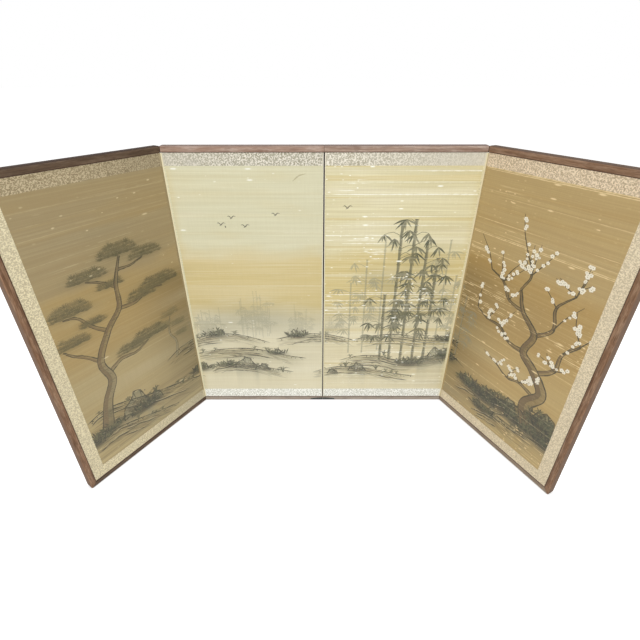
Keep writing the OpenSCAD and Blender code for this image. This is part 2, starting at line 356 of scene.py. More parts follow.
def scroll_group():
    """Woven figure of small scrolls, one curl to a cell, from 0 for ground to 1 for figure."""
    group, result, vector, repeat = new_group("scroll_figure", ["Figure"], Repeat=0.01)
    scale = 1.0 / repeat
    x, _, z = split(vector)
    flat = joined(x, z, 0.0)
    inputs = {"Vector": flat, "Scale": scale * 0.9, "Detail": 1.0}
    wavy = added("ShaderNodeTexNoise", inputs, "Color", noise_dimensions="2D")
    off_centre = vector_maths("SUBTRACT", wavy, (0.5, 0.5, 0.5))
    sway = added("ShaderNodeVectorMath", {0: off_centre, "Scale": repeat}, operation="SCALE")
    drift = vector_maths("ADD", sway, flat)
    distance, colour, centre = scattered(drift, scale)
    dx, dz, _ = split(vector_maths("SUBTRACT", drift, centre))
    chance, start, _ = split(colour)
    turned = maths("ARCTAN2", dz, dx) * maths("SIGN", chance - 0.5) + start * (2 * math.pi)
    curl = maths("SINE", turned + distance * 8.5)
    uneven = noise(vector, (260, 260, 260)) - 0.5
    fill(result["Figure"], ramp(uneven * 2.2 + curl, -0.15, 0.55))
    return group


def arc_group():
    """Overlapping rows of ringed arcs, a traditional repeat, as 1 on a line and 0 between lines."""
    group, result, vector, repeat = new_group("ringed_arcs", ["Line"], Repeat=0.03)
    x, _, z = split(vector)
    across, up = x / repeat, z / repeat
    row = maths("FLOOR", up * 4.0)
    reach = None
    for step in (1, 0, -1):
        this_row = row + step
        dx = maths("FRACT", across + maths("MODULO", this_row, 2.0) * 0.5) - 0.5
        dz = up - this_row / 4.0
        distance = maths("SQRT", dx * dx + dz * dz)
        if reach is None:
            reach = distance
        else:
            inside = maths("LESS_THAN", distance, 0.5)
            reach = distance * inside + reach * (1.0 - inside)
    rings = abs(maths("SINE", reach * (8 * math.pi)))
    fill(result["Line"], ramp(rings, 0.25, 0.55, 1.0, 0.0))
    return group


def grain_group():
    """Wood grain along X: Grain for the colour, Pores for the fine dark lines."""
    group, result, vector, seed = new_group("wood_grain", ["Grain", "Pores"], Seed=0.0)
    shifted = vector_maths("ADD", vector, joined(seed, seed, seed))
    fill(result["Grain"], ramp(noise(shifted, (9, 260, 260), 4.0, 0.6, 0.5), 0.3, 0.7))
    fill(result["Pores"], ramp(noise(shifted, (60, 1500, 1500), 2.0, 0.5), 0.52, 0.68))
    return group


WEAVE = weave_group()
STREAKS = streak_group()
SLUBS = slub_group()
KNOTS = knot_group()
SCROLL = scroll_group()
ARCS = arc_group()
GRAIN = grain_group()


# Colours

def seen_as(red, green, blue):
    """Linear colour of an ordinary 0 to 255 one."""
    return tuple(((c / 255 + 0.055) / 1.055) ** 2.4 for c in (red, green, blue))


def tones(*colours):
    """Linear colours of several ordinary ones."""
    return tuple(seen_as(*colour) for colour in colours)


def scaled(colour, factor, lift=0.0):
    """Colour times a factor, plus a lift."""
    return tuple(min(1.0, factor * c + lift) for c in colour)


def between(first, second, share=0.5):
    """Plain colour between two others."""
    return tuple(a + (b - a) * share for a, b in zip(first, second))


# Moulding

MOULDING_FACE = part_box("bottom_border_2")[0].z
OUTER_X = {1: unrolled_box("side_moulding_1", 1)[0].x, 4: unrolled_box("side_moulding_4", 4)[1].x}
STEP_W = 1.5 * MM
ROUND_W = 3 * MM
ARRIS_REACH = 0.7 * MM
# Dark, middle and pale tone of each panel's level mouldings. They hold painted light and shade: panels 2
# and 3 are painted paler, as with a sheen, and panel 1 darker, as in shade
WOOD = {
    1: tones((74, 58, 44), (104, 84, 66), (128, 108, 90)),
    2: tones((140, 110, 93), (176, 148, 130), (202, 182, 168)),
    3: tones((138, 112, 95), (182, 157, 140), (204, 186, 172)),
    4: tones((116, 86, 64), (156, 124, 98), (178, 150, 126)),
}
SIDE_WOOD = tones((100, 71, 50), (156, 120, 92), (180, 150, 123))
# Stain, pores, and the painted shade in the step next to the silk
STAIN, PORE, STEP_SHADE = tones((96, 64, 48), (58, 42, 36), (76, 56, 46))
# Rim tones of each panel's level mouldings and of the side mouldings. The level ones are set per panel as
# its light falls: painted light and shade, palest on panels 2 and 3 and darkest on panel 1
RIM = dict(enumerate(tones((66, 51, 43), (138, 120, 112), (130, 112, 105), (98, 80, 68)), 1))
SIDE_RIM = seen_as(120, 97, 80)
# Dust on the low mouldings of panels 2 to 4
DUST = dict(enumerate(tones((158, 159, 149), (158, 159, 149), (146, 142, 130)), 2))
DUST_SHARE = 0.45
CORE_WOOD = tones((196, 158, 108), (222, 190, 144), (168, 128, 84))


def moulding_wood(n, edge, seed):
    """Stained, thinly lacquered wood, rubbed paler in places, with painted shade in its step and a darker
    rim, its tone on the level mouldings set per panel as painted light and shade.
    Its grain runs along the moulding. The edge is top, bottom or side."""
    material, place = panel_material(f"{edge}_moulding_wood_{n}", n)
    x, y, z = split(place)
    if edge == "side":
        along, from_rim = joined(z, y, x), abs(x - OUTER_X[n])
    else:
        along, from_rim = place, z if edge == "bottom" else HEIGHT - z
    dark, middle, pale = SIDE_WOOD if edge == "side" else WOOD[n]
    grain, pores = use_group(GRAIN, along, Seed=seed)
    rubbed = ramp(noise(along, (22, 120, 120), 4.0, 0.6), 0.42, 0.68)
    stained = ramp(noise(along, (30, 90, 90), 3.0, 0.5), 0.55, 0.75)
    flecks = ramp(noise(along, (130, 900, 900), 2.0, 0.7), 0.42, 0.62, 0, 0.3)
    rim = ramp(from_rim, 0.2 * ROUND_W, 0.55 * ROUND_W, 0.95, 0.0)
    worn = ramp(noise(along, (60, 300, 300), 3.0, 0.6), 0.5, 0.7, 0, 0.7)
    arris = ramp(abs(from_rim - 1.1 * ROUND_W), 0, ARRIS_REACH, 1, 0)
    # The step at the inner edge is darkened: painted shade in the groove by the silk.
    in_step = ramp(from_rim, MOULDING_FACE - 1.1 * STEP_W, MOULDING_FACE - 0.7 * STEP_W)
    tone = layered(
        mix(grain, dark, middle), (rubbed * 0.6, pale), (stained * 0.45, STAIN),
        (pores * 0.5, PORE), (flecks, dark), (rim, SIDE_RIM if edge == "side" else RIM[n]),
        (worn * arris, pale),
    )
    if edge == "bottom" and n in DUST:
        tone = mix(DUST_SHARE, tone, DUST[n])
    rough = ramp(noise(place, 60, 3.0, 0.6), 0.3, 0.7, 0.38, 0.58)
    return coat(
        material, Base_Color=mix(in_step * 0.8, tone, STEP_SHADE), Specular_IOR_Level=0.2,
        Roughness=maths("MAXIMUM", rough, rim * 0.85), Normal=bump(grain - pores, 0.08 * MM, 0.6),
    )


def core_wood():
    """Plain pale softwood of the hidden lattice and its dowels."""
    material, place = panel_material("core_softwood")
    grain, pores = use_group(GRAIN, place, Seed=4.0)
    plain, ripe, dark = CORE_WOOD
    return coat(material, Base_Color=mix(pores, mix(grain, plain, ripe), dark), Roughness=0.7)


# Silk, brocade and paper

# Sky, warm middle band and haze of each panel's silk. They hold painted light and shade: panels 2 and 3 are
# painted paler, as with a sheen, and panels 1 and 4 darker, as in shade
SILK_TONES = {
    1: tones((159, 141, 103), (171, 146, 94), (178, 163, 122)),
    2: tones((209, 205, 173), (204, 186, 131), (226, 222, 200)),
    3: tones((214, 205, 164), (207, 189, 131), (228, 221, 194)),
    4: tones((181, 156, 107), (174, 144, 88), (188, 164, 112)),
}
HORIZON_LOW = 0.30
HORIZON_HIGH = 0.43
# Strength of the painted sheen on each panel's slubs and knots
SLUB_AMOUNT = {1: 0.18, 2: 0.12, 3: 1.0, 4: 0.9}
STREAK_AMOUNT = {1: 0.28, 2: 0.26, 3: 0.5, 4: 0.36}
BAND_AMOUNT = {1: 0.15, 2: 0.1, 3: 0.6, 4: 0.25}
SEAM_SHADE, RIB_LIGHT = tones((96, 84, 54), (200, 180, 132))
INK_TAKE = {1: 0.75, 2: 0.82, 3: 0.88, 4: 0.95}
KNOT_SHARE = {1: 0.05, 2: 0.06, 3: 0.3, 4: 0.36}
# How far apart the panels' pieces lie on their bolt
BOLT_STEP = 0.73
FINE_THREADS = {"Length": 0.16, "Thickness": 0.0018}
BROAD_THREADS = {"Length": 0.4, "Thickness": 0.005}


def bolt_of(place, n):
    """Coordinates of the cloth that panel n is cut from, so that no thread runs on across a seam."""
    return vector_maths("ADD", place, (0, 0, BOLT_STEP * n))


def toned_silk(n, place, cloth):
    """The bare silk's colour: a warm band across the middle, clouds, bands, painted shade low near the
    seams of panels 1 and 4, and painted reflected light near the outer seams of panels 2 and 3.
    """
    sky, warm, haze = SILK_TONES[n]
    x, _, z = split(place)
    height = (noise(place, (5, 1, 12), 3.0, 0.5) - 0.5) * 0.10 + z
    cloudy = noise(place, (3, 1, 14), 4.0, 0.5)
    bands = noise(cloth, (0.5, 1, 50), 1.0, 0.5)
    from_seam = PANEL_W - abs(x)
    tone = layered(
        mix(ramp(height, HORIZON_HIGH, HORIZON_HIGH - 0.04), sky, warm),
        (ramp(height, HORIZON_LOW, HORIZON_LOW - 0.07, 0, 0.7), haze),
        (ramp(cloudy, 0.5, 0.72, 0, 0.4), warm),
        (ramp(cloudy, 0.46, 0.28, 0, 0.4), haze),
        (ramp(bands, 0.57, 0.59, 0, BAND_AMOUNT[n]), warm),
        (ramp(bands, 0.43, 0.41, 0, 0.6 * BAND_AMOUNT[n]), haze),
    )
    # On panels 2 and 3, a warm tint near the outer seams: painted light reflected from the outer panels.
    if n in (2, 3):
        return mix(ramp(from_seam, 0, 18 * MM, 0.4, 0), tone, warm)
    tone = mix(ramp(from_seam, -0.15, 0, 0, 0.5) * ramp(z, 0.43, 0.35), tone, SEAM_SHADE)
    if n == 1:
        ribbed = noise(cloth, (1.2, 1, 130), 2.0, 0.6)
        foot = ramp(z, 0.17, 0.09)
        tone = layered(
            tone, (foot * ramp(ribbed, 0.52, 0.62, 0, 0.45), RIB_LIGHT),
            (foot * ramp(ribbed, 0.48, 0.38, 0, 0.35), SEAM_SHADE),
        )
    return tone


def silk(n):
    """Old gold silk with uneven level threads, and slubs and knots painted bright as a sheen on the thick
    threads. The painting's ink, carried by the mesh, lies in the weave under the slubs."""
    _, warm, haze = SILK_TONES[n]
    material, place = panel_material(f"old_silk_{n}", n)
    cloth = bolt_of(place, n)
    ink = material.node_tree.nodes.new("ShaderNodeAttribute")
    ink.attribute_name = "ink"
    cover = Signal(ink.outputs["Alpha"])
    dry = ramp(noise(place, (260, 1, 900), 2.0, 0.6), 0.25, 0.6, INK_TAKE[n], 1.0)
    tone = mix(cover * dry, toned_silk(n, place, cloth), Signal(ink.outputs["Color"]))
    [fine] = use_group(STREAKS, cloth, **FINE_THREADS)
    [broad] = use_group(STREAKS, cloth, **BROAD_THREADS)
    pale = scaled(haze, 1.3, 0.04)
    deep = scaled(warm, 0.6)
    plain = STREAK_AMOUNT[n]
    bare = cover * (-0.75 * plain) + plain
    for threads, pale_share, deep_share in ((fine, 0.30, 0.20), (broad, 0.26, 0.14)):
        tone = layered(
            tone, (ramp(threads, 0.53, 0.61, 0, pale_share) * bare, pale),
            (ramp(threads, 0.47, 0.39, 0, deep_share) * bare, deep),
        )
    warp = ramp(noise(place, (420, 1, 18), 1.0), 0.4, 0.6, 0.04, 0.0)
    where = ramp(noise(place, (3.5, 1, 8), 2.0), 0.48, 0.6, 0.12, 1.0)
    [long] = use_group(SLUBS, cloth, Pitch=0.0026, Share=0.1, Length=0.4)
    [short] = use_group(SLUBS, cloth, Pitch=0.0034, Share=0.3, Length=0.03)
    slub = maths("MAXIMUM", long, short * maths("POWER", where, 3.0))
    slub = slub * ((cover * -0.7 + 1.0) * SLUB_AMOUNT[n])
    share = KNOT_SHARE[n]
    [small] = use_group(KNOTS, cloth, Spacing=0.008, Size=0.0014, Share=share, Squeeze=0.5)
    [large] = use_group(KNOTS, cloth, Spacing=0.02, Size=0.0017, Share=share, Squeeze=0.28)
    knots = maths("MAXIMUM", small * where, large) * (0.6 + 0.4 * SLUB_AMOUNT[n])
    # Slubs and knots are painted pale: a painted sheen on the thick threads, strong on panels 3 and 4.
    bright = maths("MAXIMUM", slub, knots)
    [weave] = use_group(WEAVE, place, Pitch=0.0005)
    return coat(
        material, Base_Color=layered(tone, (warp, deep), (bright * 0.92, scaled(haze, 1.4, 0.14))),
        Roughness=0.5, Sheen_Weight=0.15, Sheen_Roughness=0.4,
        Normal=bump(fine * 1.5 + weave + bright, 0.06 * MM, 0.5),
    )


# Figure and ground of each panel's brocade, above the silk and beside or below it. They hold painted light:
# panel 1's are darker, as in shade, and the pale ones beside and below the silk are lighter, as from light
# thrown up by the floor
BROCADE_TONES = {
    1: tones((201, 185, 151), (143, 127, 95)),
    2: tones((226, 220, 205), (152, 147, 124)),
    3: tones((234, 228, 212), (166, 159, 136)),
    4: tones((239, 219, 189), (182, 162, 132)),
}
PALE_BROCADE = {
    1: tones((238, 227, 192), (197, 184, 151)),
    2: tones((255, 255, 248), (200, 200, 186)),
    3: tones((255, 255, 248), (200, 200, 186)),
    4: tones((234, 219, 189), (197, 182, 152)),
}
BROCADE_REPEAT = {1: 0.0052, 2: 0.0064, 3: 0.0064, 4: 0.0052}
# How much of the top brocade's contrast is evened out at the outer seam, and how far in from it: in part
# painted light reflected from the next panel
EVENED_NEAR_SEAM = {2: (0.45, 0.15), 3: (0.8, 0.3)}


def brocade(n, at_top):
    """Brocade with ivory scrolls on a grey-green ground. Its contrast is evened out near the outer seams,
    in part as painted light, and on panel 1 it darkens towards the seam with painted shade.
    """
    ivory, ground = (BROCADE_TONES if at_top else PALE_BROCADE)[n]
    material, place = panel_material(f"{'' if at_top else 'pale_'}scroll_brocade_{n}", n)
    [figure] = use_group(SCROLL, place, Repeat=BROCADE_REPEAT[n])
    shades = ramp(noise(place, 300, 3.0, 0.6), 0.35, 0.65)
    evened = between(ground, ivory)
    tone = mix(figure, mix(shades * 0.6, ground, evened), ivory)
    from_seam = PANEL_W - abs(split(place)[0])
    # Near the outer seam the top brocade's contrast is evened out, in part as painted light reflected from
    # the next panel.
    if n in EVENED_NEAR_SEAM and at_top:
        share, reach = EVENED_NEAR_SEAM[n]
        tone = mix(ramp(from_seam, 0, reach, share, 0), tone, evened)
    # On panel 1 the brocade darkens towards the seam: painted shade.
    if n == 1:
        share = 0.3 if at_top else 0.5
        tone = mix(ramp(from_seam, 0, -0.2, share, 0), tone, scaled(ivory, 0.3))
    soiled = ramp(noise(place, 30, 4.0, 0.6), 0.42, 0.75, 0, 0.3)
    [weave] = use_group(WEAVE, place, Pitch=0.0006)
    return coat(
        material, Base_Color=mix(soiled, tone, scaled(ivory, 0.7)),
        Roughness=ramp(figure, 0, 1, 0.72, 0.48), Normal=bump(weave * 0.3 + figure, 0.12 * MM, 0.6),
    )


def fibrous(place, roughness=0.8):
    """Shader inputs for the dull surface of long-fibred paper."""
    fibres = noise(place, (900, 900, 260), 4.0, 0.6)
    return {"Roughness": roughness, "Normal": bump(fibres, 0.05 * MM, 0.5)}


def plain_paper(name, colour):
    """Paper of one tone with a few soft spots."""
    material, place = panel_material(name)
    spots = ramp(noise(place, 40, 3.0), 0.4, 0.8, 0, 0.4)
    return coat(material, Base_Color=mix(spots, colour, scaled(colour, 0.75)), **fibrous(place))


COVER_GROUND, COVER_SHADE, COVER_LINE = tones((84, 92, 70), (98, 100, 74), (164, 160, 124))


def cover_paper(n):
    """Patterned paper of the back: rows of ringed arcs printed in dull mica on grey-green, a
    little glossier than the paper."""
    material, place = panel_material(f"cover_paper_{n}", n)
    [lines] = use_group(ARCS, place, Repeat=0.034)
    worn = ramp(noise(place, 34, 4.0, 0.6), 0.3, 0.65, 0.85, 0.35)
    ground = mix(ramp(noise(place, 9, 3.0), 0.35, 0.7), COVER_GROUND, COVER_SHADE)
    surface = fibrous(place, ramp(lines, 0, 1, 0.8, 0.45))
    return coat(material, Base_Color=mix(lines * worn, ground, COVER_LINE), **surface)


# Pale face and painted shade of each panel's hinge paper, the face lighter or darker per panel as its light
# falls, and where its tones lie, from the moulding's face backwards and from the middle of the seam
HINGE_FRONT = {
    1: tones((146, 134, 98), (104, 92, 66)),
    2: tones((226, 216, 180), (86, 68, 58)),
    3: tones((221, 208, 170), (86, 68, 58)),
    4: tones((170, 150, 106), (124, 108, 74)),
}
BARE_EDGE, SEAM_DARK = tones((255, 250, 236), (72, 56, 48))
CENTRE_EDGE = (1.7 * MM, 2.1 * MM)
OUTER_EDGE = (0.9 * MM, 1.5 * MM)
SLOT_SHADE_DEPTH = (1.05 * MM, 2.2 * MM)
DARK_DEPTH = (3 * MM, 9 * MM)
BACK_DEPTH = (16.45 * MM, 16.6 * MM)
BORDER_BLUR = 0.3 * MM


def hinge_paper(n):
    """Hinge paper of panel n: pale on the front, darker deeper inside the seam with painted shade, and at
    the back the colour of the cover."""
    front, slot_shade = HINGE_FRONT[n]
    sky = SILK_TONES[n][0]
    material, place = panel_material(f"hinge_paper_{n}", n)
    x, depth, z = split(place)
    spots = ramp(noise(place, (90, 90, 30), 3.0), 0.4, 0.8, 0, 0.4)
    off_centre = ramp(abs(x), *CENTRE_EDGE)
    off_outer = ramp(abs(abs(x) - PANEL_W), *OUTER_EDGE)
    [threads] = use_group(STREAKS, bolt_of(place, n), **FINE_THREADS)
    silken = mix(ramp(threads, 0.4, 0.6), scaled(sky, 0.85), scaled(sky, 1.12))
    for name, pair, way in (("top_border", BROCADE_TONES, 1), ("bottom_border", PALE_BROCADE, -1)):
        low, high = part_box(f"{name}_{n}")
        edge = low.z if way > 0 else high.z
        beyond = ramp(z, edge - way * BORDER_BLUR, edge + way * BORDER_BLUR)
        silken = mix(beyond, silken, between(*pair[n], 0.4))
    tone = layered(
        mix(off_centre, BARE_EDGE, mix(spots, front, scaled(front, 0.86))),
        (maths("MINIMUM", off_centre, off_outer) * 0.85, silken),
        # Deeper in the seam the paper darkens: painted shade inside the slot.
        (ramp(depth, *SLOT_SHADE_DEPTH), slot_shade),
        (ramp(depth, *DARK_DEPTH), SEAM_DARK),
        (ramp(depth, *BACK_DEPTH), between(COVER_GROUND, COVER_SHADE)),
    )
    return coat(material, Base_Color=tone, **fibrous(place))


LACQUER = tones((42, 42, 38), (84, 82, 72))
# Tones of the dark sheets in the gaps between the moulding ends: painted shade
GAP_SHADE_TONES = tones((52, 38, 32), (84, 64, 54))


def black_lacquer():
    """Worn black of the foot guards."""
    material, place = panel_material("black_lacquer")
    worn = ramp(noise(place, 300, 3.0, 0.6), 0.55, 0.75, 0, 0.5)
    return coat(material, Base_Color=mix(worn, *LACQUER), Roughness=0.5)


def gap_shade_sheet():
    """Dark sheet that closes the gaps between the moulding ends: painted shade."""
    material, place = panel_material("painted_gap_shade_sheet")
    return coat(material, Base_Color=mix(noise(place, 220, 3.0), *GAP_SHADE_TONES), **fibrous(place))


def finish_nodes():
    """Gives every CAD node its finish. Returns the finishes that new pieces share."""
    core = core_wood()
    lining = plain_paper("lining_paper", seen_as(224, 214, 188))
    black = black_lacquer()
    silks = {n: silk(n) for n in STAND}
    hinges = {n: hinge_paper(n) for n in STAND}
    for n in STAND:
        pale = brocade(n, at_top=False)
        finishes = {
            "top_moulding": moulding_wood(n, "top", 1.7 * n),
            "bottom_moulding": moulding_wood(n, "bottom", 2.9 * n),
            "painted_silk": silks[n], "top_border": brocade(n, at_top=True), "bottom_border": pale,
            "back_cover": cover_paper(n), "front_lining": lining, "back_lining": lining,
            "core_lattice": core, "core_outer_stile": core, "core_inner_stile": core, "dowels": core,
            "outer_hinge_strips": hinges[n], "centre_hinge_strips": hinges[n],
        }
        if n in OUTER_X:
            finishes["side_moulding"] = moulding_wood(n, "side", 2.3 * n)
            finishes["side_border"] = pale
        else:
            finishes["foot_guard"] = black
        for name, finish in finishes.items():
            piece = frame["nodes"].get(f"{name}_{n}")
            if piece:
                piece.data.materials.clear()
                piece.data.materials.append(finish)
    return silks, hinges


SILKS, HINGES = finish_nodes()


# New pieces

def mesh_object(name, bm, material):
    """Turns a bmesh into a named object with one finish."""
    mesh = bpy.data.meshes.new(name)
    bm.to_mesh(mesh)
    bm.free()
    mesh.materials.append(material)
    return new_object(name, mesh)


def add_piece(name, bm, material):
    """Turns a bmesh into a named piece with one finish."""
    bmesh.ops.recalc_face_normals(bm, faces=bm.faces)
    piece = mesh_object(name, bm, material)
    return piece


# For each seam: its two panels, its place on the unrolled screen, and the way towards the first
SEAMS = {"12": (2, 1, -PANEL_W, 1), "23": (2, 3, 0, -1), "34": (3, 4, PANEL_W, -1)}
# Depths of the creases and of the dark sheets of painted shade between the moulding ends, from the
# moulding's face, and their reach on each panel
FRONT_CREASE = (0.68 * MM, 0.97 * MM)
BACK_CREASE = (16.43 * MM, 16.72 * MM)
CREASE_REACH = [0.7 * MM, 0.2 * MM]
GAP_SHADE_REACH = [0.5 * MM]
FRONT_GAP_SHADE = (1.5 * MM, 2.5 * MM)
BACK_GAP_SHADE = (15.2 * MM, 16.2 * MM)
SEAM_CLEARANCE = 0.2 * MM


def seam_piece(name, seam, reaches, depths, heights, material):
    """Closed strip across a seam, with both ends on their own panels and a fold between them."""
    first, second, middle, way = SEAMS[seam]
    stations = [(first, way * reach) for reach in reaches]
    stations += [(second, -way * reach) for reach in reversed(reaches)]
    near, far = depths
    low, high = heights
    bm = bmesh.new()
    rings = []
    for n, offset in stations:
        corners = ((near, low), (near, high), (far, high), (far, low))
        rings.append([bm.verts.new(STAND[n] @ Vector((middle + offset, y, z))) for y, z in corners])
    for ring, following in zip(rings, rings[1:]):
        for i in range(4):
            bm.faces.new((ring[i], ring[i - 1], following[i - 1], following[i]))
    bm.faces.new(rings[0])
    bm.faces.new(rings[-1])
    piece = add_piece(name, bm, material)
    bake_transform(piece)


def close_seams():
    """Creases of the hinge paper, and dark sheets of painted shade between the ends of the mouldings."""
    gap_shade = gap_shade_sheet()
    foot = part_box("bottom_moulding_2")[0].z
    for seam, (first, _, _, _) in SEAMS.items():
        at_back = seam == "23"
        crease = BACK_CREASE if at_back else FRONT_CREASE
        heights = (MOULDING_FACE + SEAM_CLEARANCE, HEIGHT - MOULDING_FACE - SEAM_CLEARANCE)
        seam_piece(f"seam_crease_{seam}", seam, CREASE_REACH, crease, heights, HINGES[first])
        depths = BACK_GAP_SHADE if at_back else FRONT_GAP_SHADE
        low = (foot + 3 * SEAM_CLEARANCE, MOULDING_FACE)
        high = (HEIGHT - MOULDING_FACE, HEIGHT - 3 * SEAM_CLEARANCE)
        for end, heights in (("foot", low), ("top", high)):
            seam_piece(f"{end}_gusset_{seam}", seam, GAP_SHADE_REACH, depths, heights, gap_shade)


close_seams()


# The painting: a generic ink painting of pine, bamboo and plum, laid out in millimetres on the
# unrolled screen

DARK_INK = seen_as(42, 44, 38)
GREEN_INK = seen_as(62, 68, 50)
NEEDLE_INK = seen_as(78, 76, 52)
OLIVE_INK = seen_as(88, 90, 64)
BROWN_INK = seen_as(104, 86, 62)
GREY_WASH = seen_as(138, 138, 118)
GREEN_WASH = seen_as(118, 112, 74)
PALE_PIGMENT = seen_as(244, 238, 220)
PALE_CLAY = seen_as(206, 194, 160)
OCHRE = seen_as(188, 148, 88)
MIST = seen_as(228, 220, 190)
CREASE_SHADE = seen_as(166, 156, 118)
WASH_EPSILON = 1e-4
BLOB_FALL = 1.4
# Heights over the silk: of a level, of one stroke over the last, and how deep the strokes' backs lie
LEVEL_LIFT = 0.04
STROKE_LIFT = 0.0004
LIFTS_IN_LEVEL = 99
STROKE_SINK = 0.05
# Side of the cells in which the last stroke's height is kept
CELL = 16
# Needles of a fan, how far they lean in degrees, and the height of a clump's rows
FAN_NEEDLES = 11
FAN_SPREAD = 76
ROW_RISE = 6
# How far a knoll's pale highlight lies above its ledge
HIGHLIGHT_RISE = 2.6
DICE = random.Random(12)
LAYERS = {n: bmesh.new() for n in STAND}
INK = {n: LAYERS[n].verts.layers.float_color.new("ink") for n in STAND}
WASHES = []
LAST_LIFT = {}


def smooth_path(points, steps):
    """Places at even steps of a smooth path through the points."""
    given = [np.array(point, float) for point in points]
    path = [2 * given[0] - given[1], *given, 2 * given[-1] - given[-2]]
    spans = len(given) - 1
    places = []
    for i in range(steps + 1):
        t = i / steps * spans
        k = min(int(t), spans - 1)
        u = t - k
        a, b, c, d = path[k:k + 4]
        bend = (2 * a - 5 * b + 4 * c - d) * u ** 2 + (3 * b - a - 3 * c + d) * u ** 3
        places.append((2 * b + (c - a) * u + bend) / 2)
    return np.array(places)


def sideways(path):
    """Unit vectors square to a path, to its left."""
    heading = np.gradient(path, axis=0)
    heading /= np.linalg.norm(heading, axis=1)[:, None] + 1e-9
    return np.stack([-heading[:, 1], heading[:, 0]], 1)


def widths_along(widths, steps):
    """Width at each step, from a few widths spread evenly along a path."""
    return np.interp(np.linspace(0, 1, steps + 1), np.linspace(0, 1, len(widths)), widths)


def next_lift(places, level):
    """Height over the silk that no earlier stroke of the level has near these places, so that
    overlapping strokes never share a plane."""
    low = np.floor(places.min(axis=0) / CELL).astype(int)
    high = np.floor(places.max(axis=0) / CELL).astype(int)
    cells = [(level, x, z) for x in range(low[0], high[0] + 1) for z in range(low[1], high[1] + 1)]
    lift = (max(LAST_LIFT.get(cell, 0) for cell in cells) + 1) % LIFTS_IN_LEVEL
    for cell in cells:
        LAST_LIFT[cell] = lift
    return level * LEVEL_LIFT + lift * STROKE_LIFT


def stroke(points, widths, ink, cover, steps, level, fade=0.0):
    """One brush stroke, a flat strip along a smooth path, which fades towards its end."""
    path = smooth_path(points, steps)
    offset = sideways(path) * (widths_along(widths, steps) / 2)[:, None]
    left, right = path + offset, path - offset
    lift = next_lift(np.concatenate([left, right]), level)
    for n, (low, high) in SILK.items():
        if max(path[:, 0]) < low.x / MM or min(path[:, 0]) > high.x / MM:
            continue
        made = bmesh.ops.create_grid(LAYERS[n], x_segments=steps, y_segments=1, size=1)["verts"]
        for index, vert in enumerate(made):
            row, i = divmod(index, steps + 1)
            x, z = (left if row else right)[i]
            vert.co = (x, lift, z)
            vert[INK[n]] = (*ink, cover * (1 - fade * i / steps))


def blob(x_0, z_0, reach_x, reach_z, cover, ink):
    """Soft patch of wash."""
    def share(x, z):
        away = ((x - x_0) / reach_x) ** 2 + ((z - z_0) / reach_z) ** 2
        return cover * np.exp(-BLOB_FALL * away)
    WASHES.append((ink, share))


def below(line, cover, ink, depth, ends=40.0):
    """Wash that starts at a line of points and fades downwards and towards the line's ends."""
    xs, zs = np.array(line, float).T

    def share(x, z):
        drop = np.interp(x, xs, zs) - z
        within = np.clip(np.minimum(x - xs[0], xs[-1] - x) / ends, 0, 1)
        return cover * within * np.where(drop > 0, np.exp(-drop / depth), 0)
    WASHES.append((ink, share))


def wash_at(x, z):
    """Colour and cover of all washes at places on the unrolled screen, in millimetres."""
    colour = np.zeros((len(x), 3)) + OCHRE
    cover = np.zeros(len(x))
    for ink, share_at in WASHES:
        share = share_at(x, z)
        total = share + cover * (1 - share)
        blend = np.where(total > WASH_EPSILON, share / np.maximum(total, WASH_EPSILON), 0)[:, None]
        colour = colour * (1 - blend) + np.array(ink) * blend
        cover = total
    return colour, cover


def jitter(amount):
    """Random number from minus to plus the amount."""
    return DICE.uniform(-amount, amount)


def towards(x, z, angle, reach):
    """Point that lies a reach away, at an angle up from the right."""
    return x + reach * math.cos(angle), z + reach * math.sin(angle)


def halfway(start, end, aside=0.0, up=0.0):
    """Point midway between two others, moved a little."""
    return (start[0] + end[0]) / 2 + aside, (start[1] + end[1]) / 2 + up


def fan(x, z, reach, ink, cover):
    """Fan of fine pine needles that points upwards."""
    for i in range(FAN_NEEDLES):
        angle = math.radians(90 + FAN_SPREAD * (2 * i / (FAN_NEEDLES - 1) - 1) + jitter(6))
        end = towards(x, z, angle, reach * DICE.uniform(0.8, 1.15))
        stroke([(x, z), end], (1.2, 0.35), ink, cover, steps=1, level=3)


def needle_clump(x, z, width, height, ink=NEEDLE_INK, cover=0.9):
    """Flat-bottomed clump of needle fans over a soft wash, darker below."""
    blob(x, z + 0.35 * height, 0.6 * width, 0.8 * height, 0.45 * cover, GREEN_WASH)
    blob(x, z + 0.12 * height, 0.5 * width, 0.4 * height, 0.35 * cover, DARK_INK)
    rows = max(2, round(height / ROW_RISE))
    for row in reversed(range(rows)):
        reach = width / 2 * math.sqrt(1 - (row / rows) ** 2)
        count = max(2, round(2 * reach / 7))
        for i in range(count):
            at = x + reach * (2 * (i + 0.5) / count - 1) + jitter(1.5)
            tone = cover * DICE.uniform(0.6, 0.95)
            fan(at, z + row * ROW_RISE + jitter(1.2), DICE.uniform(7, 10), ink, min(tone, 0.97))


def limb(points, widths, ink=BROWN_INK, cover=0.75, outline=1.5, level=1):
    """Trunk or branch: a body, a shaded side, and an ink line along each side."""
    steps = 5 * (len(points) - 1)
    stroke(points, widths, ink, cover, steps=steps, level=level)
    path = smooth_path(points, steps)
    side = sideways(path)
    half = widths_along(widths, steps)[:, None] / 2
    shade = [0.5 * width for width in widths]
    stroke(path - side * half * 0.5, shade, DARK_INK, 0.5 * cover, steps=steps, level=level + 1)
    for way, weight in ((1, 0.8), (-1, 1.1)):
        rough = path + way * half * 0.92 * side
        rough += np.array([(jitter(0.3), jitter(0.3)) for _ in rough])
        thick = [outline * weight * DICE.uniform(0.5, 1.5) for _ in rough]
        stroke(rough, thick, DARK_INK, 0.9 * min(1, cover + 0.2), steps=2 * steps, level=level + 2)


